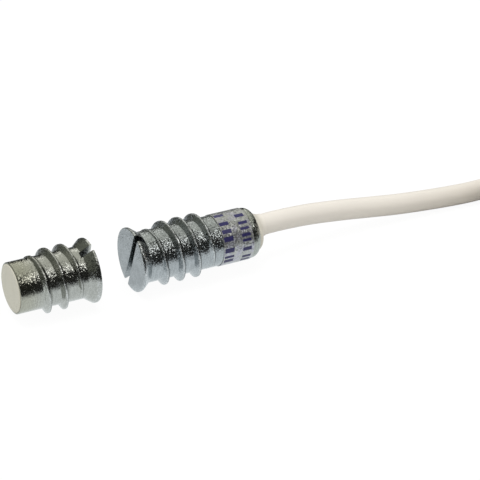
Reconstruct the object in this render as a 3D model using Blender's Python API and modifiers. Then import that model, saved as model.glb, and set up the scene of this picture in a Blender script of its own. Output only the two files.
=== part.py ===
# Screw-in magnetic door contact, as sold in pairs: a magnet unit for the door, and a reed switch
# unit with its cable for the frame. Both are turned metal bodies with a slotted countersunk head
# and a coarse right-hand thread, and they lie on the ground on their heads, facing each other.
#
# Metres, +Z up. The common axis runs along X, the cable leaves towards +X, and the origin is on
# the ground under the middle of the two units.

import math

import bmesh
import bpy
import mathutils

MM = 0.001

# Head, the same on both units.
HEAD_RADIUS = 5.05 * MM
HEAD_RIM = 0.4 * MM
HEAD_CONE = 1.35 * MM
RIM_ROUND = 0.12 * MM
SLOT_WIDTH = 1.2 * MM
SLOT_DEPTH = 1.6 * MM
SLOT_FLOOR = 1.0 * MM

# Body, the same on both units.
BODY_RADIUS = 4.0 * MM
BODY_WALL = 0.8 * MM

# Coarse thread that cuts its own way into a drilled hole.
THREAD_PITCH = 2.7 * MM
THREAD_HEIGHT = 0.9 * MM
THREAD_WIDTH = 1.35 * MM
THREAD_ROOT = 0.4 * MM

# Switch unit. Its first crest is measured from the front of its head.
SWITCH_LENGTH = 21.1 * MM
SWITCH_REAR_ROUND = 1.1 * MM
SWITCH_SLOT_TILT = math.radians(23)
SWITCH_FIRST_CREST = 5.9 * MM
THREAD_LABEL_GAP = 1.425 * MM
LABEL_WIDTH = 5.7 * MM
LABEL_REAR_GAP = 1.4 * MM
LABEL_THICKNESS = 0.1 * MM

# Magnet unit. Its first crest is measured from the front of its head, and the end of its thread
# from its rear.
MAGNET_UNIT_LENGTH = 12.7 * MM
MAGNET_SLOT_TILT = math.radians(10.6)
MAGNET_FIRST_CREST = 3.9 * MM
MAGNET_THREAD_GAP = 3.175 * MM
MAGNET_CHAMFER = 0.3 * MM
MOUTH_WALL = 0.2 * MM
RESIN_DEPTH = 2.0 * MM
RESIN_PROUD = 0.17 * MM

# Distance between the two heads.
FACE_GAP = 6.92 * MM

# Reed capsule and its leads.
GLASS_START = 5.0 * MM
GLASS_RADIUS = 0.9 * MM
GLASS_WALL = 0.2 * MM
SEAL_LENGTH = 1.2 * MM
LEAD_RADIUS = 0.2 * MM
LEAD_OUT = 0.7 * MM
BLADE_WIDTH = 0.7 * MM
BLADE_THICKNESS = 0.14 * MM
BLADE_OVERLAP = 0.8 * MM
CONTACT_GAP = 0.06 * MM
CUSHION_MARGIN = 0.6 * MM
RETURN_RADIUS = 1.9 * MM
SLEEVE_WALL = 0.2 * MM
SOLDER_LENGTH = 0.8 * MM
SOLDER_WALL = 0.22 * MM
WIRING_ROOM = 3.1 * MM

# Cable, its potting and its four conductors.
CABLE_RADIUS = 1.7 * MM
POTTING_DEPTH = 3.0 * MM
POTTING_FILLET = 0.9 * MM
CONDUCTOR_RADIUS = 0.5 * MM
CONDUCTOR_SPREAD = 0.85 * MM
TAMPER_JOINT_LENGTH = 1.0 * MM
TAMPER_RISE = 2.15 * MM
TAMPER_SPREAD = 1.75 * MM
TAMPER_BEND = 0.7 * MM
TAIL_SPACING = 1.28 * MM
TAIL_FAN_INNER = 1.2 * MM
TAIL_FAN_OUTER = 3.4 * MM
TAIL_LENGTH = 22.0 * MM
TIP_LENGTH = 6.0 * MM
TIP_RADIUS = 0.25 * MM

# Hank of the rest of the cable, with a tie round its middle. The fold's radius is that of the
# innermost turn's middle line.
HANK_FOLD_RADIUS = 10.4 * MM
HANK_STRAIGHT = 22.0 * MM
HANK_COLUMNS = 3
HANK_ROWS = 5
HANK_SPACING = 3.45 * MM
TIE_WIDTH = 4.0 * MM
TIE_THICKNESS = 0.4 * MM

# Clearances.
FIT = 0.05 * MM
LABEL_FIT = 0.02 * MM
CABLE_FIT = 0.1 * MM
END_GAP = 0.1 * MM
CORD_GAP = 0.3 * MM

# Facets round a turn.
BODY_STEPS = 48
SMALL_STEPS = 24
THREAD_STEPS = 36

# Cable route, in mm: along the axis from the switch unit's rear, away from the viewer, and up
# from the ground. It starts in the housing, sinks to the ground and meets the hank.
CABLE_ROUTE = [
    (-3.3, 0.3, 5.62),
    (-0.6, 0.3, 5.62),
    (1.7, 0.34, 5.62),
    (4.3, 0.62, 5.53),
    (10.1, 1.33, 4.95),
    (16.3, 1.86, 4.05),
    (22.3, 2.08, 3.15),
    (28.4, 2.05, 2.4),
    (35.8, 1.88, 1.87),
    (42.0, 1.7, 1.71),
    (44.6, 1.65, 1.75),
]

# Middle of the hank's near fold, in the same terms.
HANK_START = (55.8, -15.7)

# What follows from the sizes above.
HEAD_DEPTH = HEAD_RIM + HEAD_CONE
BORE_RADIUS = BODY_RADIUS - BODY_WALL
BORE_START = SLOT_DEPTH + SLOT_FLOOR
MOUTH_RADIUS = BODY_RADIUS - MOUTH_WALL
RESIN_FACE = MAGNET_UNIT_LENGTH + RESIN_PROUD
RESIN_START = MAGNET_UNIT_LENGTH - RESIN_DEPTH
MAGNET_THREAD_END = MAGNET_UNIT_LENGTH - MAGNET_THREAD_GAP
LABEL_END = SWITCH_LENGTH - LABEL_REAR_GAP
LABEL_START = LABEL_END - LABEL_WIDTH
SWITCH_THREAD_END = LABEL_START - THREAD_LABEL_GAP
POTTING_START = SWITCH_LENGTH - POTTING_DEPTH
POTTING_END = SWITCH_LENGTH + POTTING_FILLET
GLASS_END = POTTING_START - WIRING_ROOM
GLASS_LENGTH = GLASS_END - GLASS_START
AXIS_HEIGHT = HEAD_RADIUS
JACKET_END = SWITCH_LENGTH + CABLE_ROUTE[0][0] * MM
CABLE_BACK = CABLE_ROUTE[0][1] * MM
CABLE_RISE = CABLE_ROUTE[0][2] * MM - AXIS_HEIGHT
SWITCH_FACE_X = (FACE_GAP + RESIN_FACE - POTTING_END) / 2
MAGNET_FACE_X = SWITCH_FACE_X - FACE_GAP
HANK_INNER = HANK_FOLD_RADIUS - HANK_SPACING / 2
HANK_OUTER = HANK_INNER + HANK_COLUMNS * HANK_SPACING
HANK_HEIGHT = HANK_ROWS * HANK_SPACING
HANK_FLOOR = TIE_THICKNESS + CORD_GAP
HANK_TOP = HANK_FLOOR + HANK_HEIGHT

# The common axis is seen from the photographed side: its upper outline lies at this angle from
# +Y towards +Z, which is where the thread's crests are given.
OUTLINE_ANGLE = math.radians(59.3)


def place_of(face_x, towards):
    # The frame of one unit: its origin is the middle of the head's face, and its own +Z runs
    # along the body, which is world +X for the switch unit and -X for the magnet unit.
    turn = mathutils.Matrix.Rotation(towards * math.pi / 2, 4, "Y")
    return mathutils.Matrix.Translation((face_x, 0, AXIS_HEIGHT)) @ turn


SWITCH_PLACE = place_of(SWITCH_FACE_X, 1)
MAGNET_PLACE = place_of(MAGNET_FACE_X, -1)


def at(x, y, z):
    # A world point from its distance past the switch unit's face, back, and up from the axis.
    return mathutils.Vector((SWITCH_FACE_X + x, y, AXIS_HEIGHT + z))


def on_ground(x, y, z):
    # A world point of a route that is given in mm, from the switch unit's rear and the ground.
    rear = SWITCH_FACE_X + SWITCH_LENGTH
    return mathutils.Vector((rear + x * MM, y * MM, z * MM))


def on_hank(along, back, up):
    # A world point from the middle of the hank's near fold and the ground.
    x, y = HANK_START
    return on_ground(x, y, 0) + mathutils.Vector((along, back, up))


def clear_scene():
    for obj in list(bpy.data.objects):
        bpy.data.objects.remove(obj)


def new_collection(name):
    collection = bpy.data.collections.new(name)
    bpy.context.scene.collection.children.link(collection)
    return collection


def material_of(name, colour, roughness, metallic=0.0):
    material = bpy.data.materials.new(name)
    material.use_nodes = True
    shader = material.node_tree.nodes["Principled BSDF"]
    shader.inputs["Base Color"].default_value = (*colour, 1)
    shader.inputs["Roughness"].default_value = roughness
    shader.inputs["Metallic"].default_value = metallic
    material.diffuse_color = (*colour, 1)
    return material


def add(name, data, collection, material=None, place=None):
    obj = bpy.data.objects.new(name, data)
    collection.objects.link(obj)
    if place is not None:
        obj.matrix_world = place
    if material is not None:
        data.materials.append(material)
    return obj


def smooth(mesh):
    mesh.shade_smooth()
    mesh.set_sharp_from_angle(angle=math.radians(35))


def baked(obj):
    # The evaluated mesh takes the place of the object's own data and modifiers.
    graph = bpy.context.evaluated_depsgraph_get()
    mesh = bpy.data.meshes.new_from_object(obj.evaluated_get(graph))
    obj.modifiers.clear()
    obj.data = mesh
    mesh.name = obj.name
    smooth(mesh)
    return obj


def turned(name, profile, collection, material, place, steps=BODY_STEPS, closed=False):
    # profile holds (distance along the axis, radius) pairs. It runs from the axis to the axis,
    # or round a ring if closed is set.
    area = sum(
        a[0] * b[1] - b[0] * a[1] for a, b in zip(profile, profile[1:] + profile[:1])
    )
    if area < 0:
        profile = profile[::-1]
    mesh = bpy.data.meshes.new(name)
    edges = [(i, i + 1) for i in range(len(profile) - 1)]
    if closed:
        edges.append((len(profile) - 1, 0))
    mesh.from_pydata([(radius, 0, z) for z, radius in profile], edges, [])
    obj = add(name, mesh, collection, material, place)
    screw = obj.modifiers.new("Turn", "SCREW")
    screw.axis = "Z"
    screw.steps = screw.render_steps = steps
    screw.use_merge_vertices = True
    screw.merge_threshold = 1e-6
    return baked(obj)


def tube(name, points, radius, collection, material, sides=2):
    curve = bpy.data.curves.new(name, "CURVE")
    curve.dimensions = "3D"
    curve.bevel_depth = radius
    curve.bevel_resolution = sides
    curve.use_fill_caps = True
    spline = curve.splines.new("POLY")
    spline.points.add(len(points) - 1)
    for target, point in zip(spline.points, points):
        target.co = (*point, 1)
    return add(name, curve, collection, material)


def rounded_loop(half_length, half_width, corner, steps):
    # A closed outline as (x, y) points, with steps facets on each round corner. It has round
    # ends where the corner's radius is half_width.
    points = []
    for quarter, (x, y) in enumerate(((1, 1), (-1, 1), (-1, -1), (1, -1))):
        for i in range(steps + 1):
            angle = math.pi / 2 * (quarter + i / steps)
            points.append((
                x * (half_length - corner) + corner * math.cos(angle),
                y * (half_width - corner) + corner * math.sin(angle),
            ))
    following = points[1:] + points[:1]
    return [p for p, q in zip(points, following) if math.dist(p, q) > FIT / 100]


def frame_of(name, outer, inner, depth, edge, collection, material, place):
    # A flat outline with a hole, extruded to its full depth, with edges rounded by edge.
    curve = bpy.data.curves.new(name, "CURVE")
    curve.dimensions = "2D"
    curve.fill_mode = "BOTH"
    curve.extrude = depth / 2 - edge
    curve.bevel_depth = edge
    curve.bevel_resolution = 1
    curve.offset = -edge
    for loop in (outer, inner[::-1]):
        spline = curve.splines.new("POLY")
        spline.points.add(len(loop) - 1)
        spline.use_cyclic_u = True
        for target, (x, y) in zip(spline.points, loop):
            target.co = (x, y, 0, 1)
    return add(name, curve, collection, material, place)


def through(points, spacing):
    # Points about spacing apart along a smooth curve through the given ones.
    padded = [points[0] * 2 - points[1], *points, points[-1] * 2 - points[-2]]
    line = []
    for a, b, c, d in zip(padded, padded[1:], padded[2:], padded[3:]):
        pieces = max(1, round((c - b).length / spacing))
        for i in range(pieces):
            t = i / pieces
            bend = (2 * a - 5 * b + 4 * c - d) * t**2 + (3 * b - a - 3 * c + d) * t**3
            line.append((2 * b + (c - a) * t + bend) / 2)
    return [*line, points[-1]]


def fade(position, start, end, run_in, run_out):
    # Rises from 0 to 1 over run_in after start, and falls back over run_out before end.
    rise = min(1, max(0, (position - start) / run_in))
    fall = min(1, max(0, (end - position) / run_out))
    return math.sin(min(rise, fall) * math.pi / 2)


def thread(name, crest_angle, crest_at, turned_in, end_at, runs, collection, place):
    # A right-hand helical ridge. Its crest passes crest_angle at crest_at along the axis, starts
    # the angle turned_in before that, and ends at end_at along the axis. It sinks into the body
    # at both ends, over the two angles in runs.
    run_in, run_out = runs
    start = crest_angle - turned_in
    end = crest_angle + (end_at - crest_at) / THREAD_PITCH * 2 * math.pi
    section = [(-THREAD_WIDTH / 2, None)]
    for k in range(1, 6):
        angle = math.pi * k / 6
        section.append(
            (-THREAD_WIDTH / 2 * math.cos(angle), THREAD_HEIGHT * math.sin(angle) ** 0.75)
        )
    section.append((THREAD_WIDTH / 2, None))
    count = round((end - start) / (2 * math.pi) * THREAD_STEPS)
    bm = bmesh.new()
    rings = []
    for i in range(count + 1):
        angle = start + (end - start) * i / count
        height = fade(angle, start, end, run_in, run_out)
        z = crest_at + THREAD_PITCH * (angle - crest_angle) / (2 * math.pi)
        ring = []
        for offset, rise in section:
            if rise is None:
                radius = BODY_RADIUS - THREAD_ROOT
            else:
                radius = BODY_RADIUS + rise * height - THREAD_ROOT / 3 * (1 - height)
            spot = (radius * math.cos(angle), radius * math.sin(angle), z + offset)
            ring.append(bm.verts.new(spot))
        rings.append(ring)
    for low, high in zip(rings, rings[1:]):
        for i in range(len(section)):
            j = (i + 1) % len(section)
            bm.faces.new((low[i], low[j], high[j], high[i]))
    bm.faces.new(rings[0][::-1])
    bm.faces.new(rings[-1])
    bmesh.ops.recalc_face_normals(bm, faces=bm.faces)
    return add_bmesh(name, bm, collection, None, place)


def add_bmesh(name, bm, collection, material, place):
    mesh = bpy.data.meshes.new(name)
    bm.to_mesh(mesh)
    bm.free()
    smooth(mesh)
    return add(name, mesh, collection, material, place)


def block(name, size, centre, collection, material, place):
    # A box with the given full sizes, its middle at centre in the place's own axes.
    bm = bmesh.new()
    bmesh.ops.create_cube(bm, size=1)
    bmesh.ops.scale(bm, vec=size, verts=bm.verts)
    bmesh.ops.translate(bm, vec=centre, verts=bm.verts)
    return add_bmesh(name, bm, collection, material, place)


def combine(obj, other, operation):
    boolean = obj.modifiers.new(other.name, "BOOLEAN")
    boolean.operation = operation
    boolean.solver = "EXACT"
    boolean.object = other
    other.hide_render = True
    other.display_type = "WIRE"


def slotted_head(obj, tilt, cutters, place):
    # The driver slot runs right across the head, tilt round the axis from its own +X.
    slot = block(
        f"{obj.name}_slot_cutter",
        (4 * HEAD_RADIUS, SLOT_WIDTH, 2 * SLOT_DEPTH),
        (0, 0, 0),
        cutters,
        None,
        place @ mathutils.Matrix.Rotation(tilt, 4, "Z"),
    )
    combine(obj, slot, "DIFFERENCE")


def head_profile():
    # From the middle of the face out over the rim and down the cone to the body.
    return [
        (0, 0),
        (0, HEAD_RADIUS - RIM_ROUND),
        (RIM_ROUND, HEAD_RADIUS),
        (HEAD_RIM, HEAD_RADIUS),
        (HEAD_DEPTH, BODY_RADIUS),
    ]


def arc(centre_z, centre_radius, size, start, end, count):
    # Profile points on an arc, with its angles in degrees from the axis direction outwards.
    points = []
    for i in range(count + 1):
        angle = math.radians(start + (end - start) * i / count)
        points.append(
            (centre_z + size * math.cos(angle), centre_radius + size * math.sin(angle))
        )
    return points


def switch_housing(parts, cutters, metal):
    # The rear edge is rounded right in to the bore.
    size = SWITCH_REAR_ROUND
    centre = BODY_RADIUS - size
    last = math.degrees(math.asin((BORE_RADIUS - centre) / size))
    profile = [
        *head_profile(),
        *arc(SWITCH_LENGTH - size, centre, size, 90, last, 4),
        (BORE_START, BORE_RADIUS),
        (BORE_START, 0),
    ]
    housing = turned("switch_housing", profile, parts, metal, SWITCH_PLACE)
    crest = OUTLINE_ANGLE + math.pi / 2
    ridge = thread(
        "switch_thread",
        crest,
        SWITCH_FIRST_CREST,
        math.radians(400),
        SWITCH_THREAD_END,
        (math.radians(190), math.radians(170)),
        cutters,
        SWITCH_PLACE,
    )
    combine(housing, ridge, "UNION")
    slotted_head(housing, SWITCH_SLOT_TILT, cutters, SWITCH_PLACE)
    return baked(housing)


def magnet_housing(parts, cutters, metal):
    mouth = MOUTH_RADIUS - BORE_RADIUS
    profile = [
        *head_profile(),
        (MAGNET_UNIT_LENGTH - MOUTH_WALL / 2, BODY_RADIUS),
        (MAGNET_UNIT_LENGTH, BODY_RADIUS - MOUTH_WALL / 2),
        (MAGNET_UNIT_LENGTH, MOUTH_RADIUS),
        (MAGNET_UNIT_LENGTH - mouth, BORE_RADIUS),
        (BORE_START, BORE_RADIUS),
        (BORE_START, 0),
    ]
    housing = turned("magnet_housing", profile, parts, metal, MAGNET_PLACE)
    crest = math.pi / 2 - OUTLINE_ANGLE
    ridge = thread(
        "magnet_thread",
        crest,
        MAGNET_FIRST_CREST,
        math.radians(170),
        MAGNET_THREAD_END,
        (math.radians(170), math.radians(200)),
        cutters,
        MAGNET_PLACE,
    )
    combine(housing, ridge, "UNION")
    slotted_head(housing, -MAGNET_SLOT_TILT, cutters, MAGNET_PLACE)
    return baked(housing)


def magnet(parts, material):
    radius = BORE_RADIUS - FIT
    start = BORE_START + FIT
    end = RESIN_START - FIT
    profile = [
        (start, 0),
        (start, radius - MAGNET_CHAMFER),
        (start + MAGNET_CHAMFER, radius),
        (end - MAGNET_CHAMFER, radius),
        (end, radius - MAGNET_CHAMFER),
        (end, 0),
    ]
    return turned("magnet", profile, parts, material, MAGNET_PLACE)


def magnet_resin(parts, material):
    # The plug behind the magnet follows the bore and its flared mouth, and stands a little proud.
    mouth = MOUTH_RADIUS - BORE_RADIUS
    radius = MOUTH_RADIUS - FIT
    profile = [
        (RESIN_START, 0),
        (RESIN_START, BORE_RADIUS - FIT),
        (MAGNET_UNIT_LENGTH - mouth, BORE_RADIUS - FIT),
        (MAGNET_UNIT_LENGTH, radius),
        (RESIN_FACE - RESIN_PROUD / 2, radius),
        (RESIN_FACE, radius - RESIN_PROUD),
        (RESIN_FACE, 0),
    ]
    return turned("magnet_resin", profile, parts, material, MAGNET_PLACE)


def label_wrap(parts, material):
    inner = BODY_RADIUS + LABEL_FIT
    outer = inner + LABEL_THICKNESS
    profile = [
        (LABEL_START, inner),
        (LABEL_START, outer),
        (LABEL_END, outer),
        (LABEL_END, inner),
    ]
    return turned("label_wrap", profile, parts, material, SWITCH_PLACE, closed=True)


def potting(parts, material):
    # The resin fills the rear of the bore and flares in to the cable, which leaves off centre.
    # The centre of each ring moves from the axis to the cable, so the shape is a loft.
    outer = BORE_RADIUS - FIT
    hole = CABLE_RADIUS + CABLE_FIT
    lip = hole + FIT
    rings = [(POTTING_START, outer, 0), (SWITCH_LENGTH, outer, 0)]
    for k in range(1, 6):
        angle = math.pi / 2 * k / 5
        share = math.sin(angle)
        along = SWITCH_LENGTH + POTTING_FILLET * (1 - math.cos(angle))
        rings.append((along, outer + (lip - outer) * share, share))
    rings += [(POTTING_END, hole, 1), (POTTING_START, hole, 1)]
    bm = bmesh.new()
    loops = []
    for along, radius, share in rings:
        loop = []
        for i in range(BODY_STEPS):
            angle = 2 * math.pi * i / BODY_STEPS
            down = radius * math.cos(angle) - CABLE_RISE * share
            back = radius * math.sin(angle) + CABLE_BACK * share
            loop.append(bm.verts.new((down, back, along)))
        loops.append(loop)
    for low, high in zip(loops, loops[1:] + loops[:1]):
        for i in range(BODY_STEPS):
            j = (i + 1) % BODY_STEPS
            bm.faces.new((low[i], low[j], high[j], high[i]))
    bmesh.ops.recalc_face_normals(bm, faces=bm.faces)
    return add_bmesh("potting_resin", bm, parts, material, SWITCH_PLACE)


def reed_cushion(parts, cutters, material):
    # A soft sleeve carries the glass in the bore, with a groove below for the return wire.
    start = GLASS_START + CUSHION_MARGIN
    end = GLASS_END - CUSHION_MARGIN
    inner = GLASS_RADIUS + FIT
    outer = BORE_RADIUS - FIT
    profile = [(start, inner), (start, outer), (end, outer), (end, inner)]
    cushion = turned("reed_cushion", profile, parts, material, SWITCH_PLACE, closed=True)
    room = LEAD_RADIUS + SLEEVE_WALL + FIT + END_GAP
    groove = block(
        "cushion_groove_cutter",
        (BORE_RADIUS, 2 * room, 2 * SWITCH_LENGTH),
        (RETURN_RADIUS - room + BORE_RADIUS / 2, 0, 0),
        cutters,
        None,
        SWITCH_PLACE,
    )
    combine(cushion, groove, "DIFFERENCE")
    return baked(cushion)


def reed_glass(parts, material):
    hole = LEAD_RADIUS + FIT / 2
    neck = GLASS_RADIUS * 0.55
    shoulder = GLASS_RADIUS * 0.88
    inner = GLASS_RADIUS - GLASS_WALL
    half = [
        (0, hole),
        (0, neck),
        (SEAL_LENGTH * 0.3, shoulder),
        (SEAL_LENGTH * 0.7, GLASS_RADIUS),
    ]
    profile = [(GLASS_START + z, radius) for z, radius in half]
    profile += [(GLASS_END - z, radius) for z, radius in reversed(half)]
    profile += [
        (GLASS_END - SEAL_LENGTH, hole),
        (GLASS_END - SEAL_LENGTH - GLASS_WALL, inner),
        (GLASS_START + SEAL_LENGTH + GLASS_WALL, inner),
        (GLASS_START + SEAL_LENGTH, hole),
    ]
    return turned(
        "reed_glass", profile, parts, material, SWITCH_PLACE, SMALL_STEPS, closed=True
    )


def reed_blades(parts, material):
    # Each blade turns about its own root, where its lead comes out of the glass seal.
    root = SEAL_LENGTH + END_GAP + FIT
    reach = GLASS_LENGTH / 2 + BLADE_OVERLAP / 2 - root
    rise = (BLADE_THICKNESS + CONTACT_GAP) / 2
    size = (reach, BLADE_WIDTH, BLADE_THICKNESS)
    for name, along, side in (
        ("reed_blade_front", GLASS_START + root, 1),
        ("reed_blade_rear", GLASS_END - root, -1),
    ):
        place = mathutils.Matrix.Translation(at(along, 0, side * rise))
        block(name, size, (side * reach / 2, 0, 0), parts, material, place)


def reed_leads(parts, material):
    inside = SEAL_LENGTH + END_GAP
    front = [
        at(GLASS_START + inside, 0, 0),
        at(GLASS_START, 0, 0),
        at(GLASS_START - LEAD_OUT, 0, 0),
    ]
    rear = [
        at(GLASS_END - inside, 0, 0),
        at(GLASS_END, 0, 0),
        at(GLASS_END + LEAD_OUT, 0, 0),
    ]
    tube("reed_lead_front", front, LEAD_RADIUS, parts, material)
    tube("reed_lead_rear", rear, LEAD_RADIUS, parts, material)


def return_wire(parts, copper, plastic):
    # It is soldered to the front lead, turns back under the capsule and runs to the rear.
    start = GLASS_START - LEAD_OUT - END_GAP
    bend = RETURN_RADIUS / 2
    turn_at = start - SOLDER_LENGTH / 2
    points = [at(start, 0, 0)]
    for k in range(9):
        angle = math.pi * k / 8
        points.append(
            at(turn_at - bend * math.sin(angle), 0, -bend + bend * math.cos(angle))
        )
    end = GLASS_END + LEAD_OUT
    points.append(at(end, 0, -RETURN_RADIUS))
    tube("return_wire", points, LEAD_RADIUS, parts, copper)
    inner = LEAD_RADIUS + FIT
    outer = inner + SLEEVE_WALL
    begin = GLASS_START
    finish = end - SOLDER_LENGTH
    profile = [(begin, inner), (begin, outer), (finish, outer), (finish, inner)]
    below = SWITCH_PLACE @ mathutils.Matrix.Translation((RETURN_RADIUS, 0, 0))
    turned("return_sleeve", profile, parts, plastic, below, SMALL_STEPS, closed=True)


def solder_joints(parts, material):
    # A bead of solder round each wire end.
    inner = LEAD_RADIUS + FIT / 2
    outer = LEAD_RADIUS + SOLDER_WALL
    half = SOLDER_LENGTH / 2
    profile = [
        (-half, inner),
        (-half / 2, outer),
        (half / 2, outer),
        (half, inner + FIT),
        (half, inner),
    ]
    front = GLASS_START - LEAD_OUT - END_GAP / 2
    rear = GLASS_END + LEAD_OUT - half + END_GAP
    for name, along, drop in (
        ("solder_front", front, 0),
        ("solder_rear", rear, 0),
        ("solder_return", rear, RETURN_RADIUS),
    ):
        place = SWITCH_PLACE @ mathutils.Matrix.Translation((drop, 0, along))
        turned(name, profile, parts, material, place, SMALL_STEPS, closed=True)


def conductors(parts, materials, solder):
    # White goes to the rear lead and brown to the return wire. Yellow and green form the tamper
    # loop, and are joined above the others.
    start = JACKET_END - CORD_GAP
    joint = GLASS_END + LEAD_OUT + 2 * END_GAP
    loop = joint + CONDUCTOR_RADIUS
    tip = TAMPER_JOINT_LENGTH / 2 + END_GAP
    spread = CONDUCTOR_SPREAD
    back = CABLE_BACK
    up = CABLE_RISE
    routes = {
        "white": [
            at(start, back, up + spread),
            at((start + joint) / 2, back / 2, (up + spread) / 2),
            at(joint, 0, 0),
        ],
        "brown": [
            at(start, back, up - spread),
            at((start + joint) / 2, back / 2, (up - spread - RETURN_RADIUS) / 2),
            at(joint, 0, -RETURN_RADIUS),
        ],
        "yellow": [
            at(start, back + spread, up),
            at(start - TAMPER_BEND, TAMPER_SPREAD, TAMPER_RISE / 2),
            at(loop, tip + CONDUCTOR_RADIUS, TAMPER_RISE),
            at(loop, tip, TAMPER_RISE),
        ],
        "green": [
            at(start, back - spread, up),
            at(start - TAMPER_BEND, -TAMPER_SPREAD, TAMPER_RISE / 2),
            at(loop, -tip - CONDUCTOR_RADIUS, TAMPER_RISE),
            at(loop, -tip, TAMPER_RISE),
        ],
    }
    for colour, points in routes.items():
        line = through(points, 2 * CONDUCTOR_RADIUS)
        tube(f"conductor_{colour}", line, CONDUCTOR_RADIUS, parts, materials[colour], 1)
    half = TAMPER_JOINT_LENGTH / 2
    radius = CONDUCTOR_RADIUS
    profile = [
        (-half, 0),
        (-half, radius / 2),
        (-half / 2, radius),
        (half / 2, radius),
        (half, radius / 2),
        (half, 0),
    ]
    along_y = mathutils.Matrix.Rotation(-math.pi / 2, 4, "X")
    place = mathutils.Matrix.Translation(at(loop, 0, TAMPER_RISE)) @ along_y
    turned("tamper_joint", profile, parts, solder, place, SMALL_STEPS)


def cable(parts, material):
    route = [on_ground(*point) for point in CABLE_ROUTE]
    tube("cable", through(route, 5 * CABLE_RADIUS), CABLE_RADIUS, parts, material)


def cable_hank(parts, material):
    # The outer shape of the folded turns. It lies on the tie that goes round it.
    loops = []
    for radius in (HANK_OUTER, HANK_INNER):
        loops.append(rounded_loop(HANK_STRAIGHT / 2 + radius, radius, radius, 6))
    middle = on_hank(HANK_STRAIGHT / 2, 0, HANK_FLOOR + HANK_HEIGHT / 2)
    place = mathutils.Matrix.Translation(middle)
    frame_of("cable_hank", *loops, HANK_HEIGHT, HANK_SPACING / 2, parts, material, place)


def cable_tie(parts, material):
    # A strap that follows the hank's outline across its middle.
    loops = []
    for out in (CORD_GAP + TIE_THICKNESS, CORD_GAP):
        loops.append(
            rounded_loop(HANK_OUTER + out, HANK_HEIGHT / 2 + out, HANK_SPACING / 2 + out, 3)
        )
    middle = on_hank(HANK_STRAIGHT / 2, 0, HANK_FLOOR + HANK_HEIGHT / 2)
    across = mathutils.Matrix.Rotation(math.pi / 2, 4, "Z")
    upright = mathutils.Matrix.Rotation(math.pi / 2, 4, "X")
    place = mathutils.Matrix.Translation(middle) @ across @ upright
    frame_of("cable_tie", *loops, TIE_WIDTH, 0, parts, material, place)


def cable_end(parts, material):
    # The far end lies on the hank, follows its far fold and points back along it.
    radius = HANK_FOLD_RADIUS + HANK_SPACING
    height = HANK_TOP + CORD_GAP + CABLE_RADIUS
    count = round(math.pi / 2 * radius / (4 * CABLE_RADIUS))
    points = []
    for i in range(count + 1):
        angle = math.pi / 2 * i / count
        along = HANK_STRAIGHT + radius * math.cos(angle)
        points.append(on_hank(along, -radius * math.sin(angle), height))
    tube("cable_end", points, CABLE_RADIUS, parts, material)


def tails(parts, materials, tinned):
    # The four conductors fan out of the stripped jacket and lie on the hank, across its tie.
    offset = TAIL_SPACING / 2
    middle = HANK_TOP + CORD_GAP + CABLE_RADIUS
    low = HANK_TOP + CORD_GAP + TIE_THICKNESS + CORD_GAP + CONDUCTOR_RADIUS
    back = -HANK_FOLD_RADIUS - HANK_SPACING
    count = 8
    for colour, lateral, fan, rise in (
        ("white", -offset, -TAIL_FAN_OUTER, offset),
        ("brown", -offset, -TAIL_FAN_INNER, -offset),
        ("green", offset, TAIL_FAN_INNER, -offset),
        ("yellow", offset, TAIL_FAN_OUTER, offset),
    ):
        points = []
        for i in range(count + 1):
            share = i / count
            along = CORD_GAP + (TAIL_LENGTH - CORD_GAP) * share
            out = share * share * (3 - 2 * share)
            fall = min(1, share / 0.7)
            fall = fall * fall * (3 - 2 * fall)
            height = middle + rise + (low - middle - rise) * fall
            side = back + lateral + (fan - lateral) * out
            points.append(on_hank(HANK_STRAIGHT - along, side, height))
        tube(f"tail_{colour}", points, CONDUCTOR_RADIUS, parts, materials[colour], 1)
        way = (points[-1] - points[-2]).normalized()
        tip = [points[-1] + way * END_GAP, points[-1] + way * (END_GAP + TIP_LENGTH)]
        tube(f"tip_{colour}", tip, TIP_RADIUS, parts, tinned, 1)


def main():
    clear_scene()
    parts = new_collection("magnetic_door_contact")
    cutters = new_collection("cutters")
    zinc = material_of("zinc_plate", (0.56, 0.57, 0.56), 0.32, 1.0)
    film = material_of("label_film", (0.62, 0.62, 0.68), 0.25)
    resin = material_of("cream_resin", (0.63, 0.61, 0.5), 0.45)
    ferrite = material_of("magnet_metal", (0.3, 0.3, 0.31), 0.4, 1.0)
    silicone = material_of("silicone", (0.55, 0.55, 0.54), 0.6)
    glass = material_of("green_glass", (0.35, 0.55, 0.42), 0.05)
    alloy = material_of("reed_alloy", (0.6, 0.58, 0.55), 0.25, 1.0)
    copper = material_of("tinned_copper", (0.66, 0.64, 0.6), 0.35, 1.0)
    solder = material_of("solder", (0.6, 0.6, 0.62), 0.3, 1.0)
    jacket = material_of("cable_jacket", (0.78, 0.74, 0.68), 0.5)
    nylon = material_of("tie_nylon", (0.76, 0.76, 0.73), 0.4)
    wires = {
        "white": material_of("wire_white", (0.8, 0.8, 0.78), 0.45),
        "brown": material_of("wire_brown", (0.19, 0.08, 0.04), 0.45),
        "yellow": material_of("wire_yellow", (0.8, 0.6, 0.06), 0.45),
        "green": material_of("wire_green", (0.05, 0.33, 0.1), 0.45),
    }
    switch_housing(parts, cutters, zinc)
    label_wrap(parts, film)
    potting(parts, resin)
    reed_cushion(parts, cutters, silicone)
    reed_glass(parts, glass)
    reed_leads(parts, alloy)
    reed_blades(parts, alloy)
    return_wire(parts, copper, silicone)
    solder_joints(parts, solder)
    conductors(parts, wires, solder)
    cable(parts, jacket)
    cable_hank(parts, jacket)
    cable_tie(parts, nylon)
    cable_end(parts, jacket)
    tails(parts, wires, copper)
    magnet_housing(parts, cutters, zinc)
    magnet(parts, ferrite)
    magnet_resin(parts, resin)


main()
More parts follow.
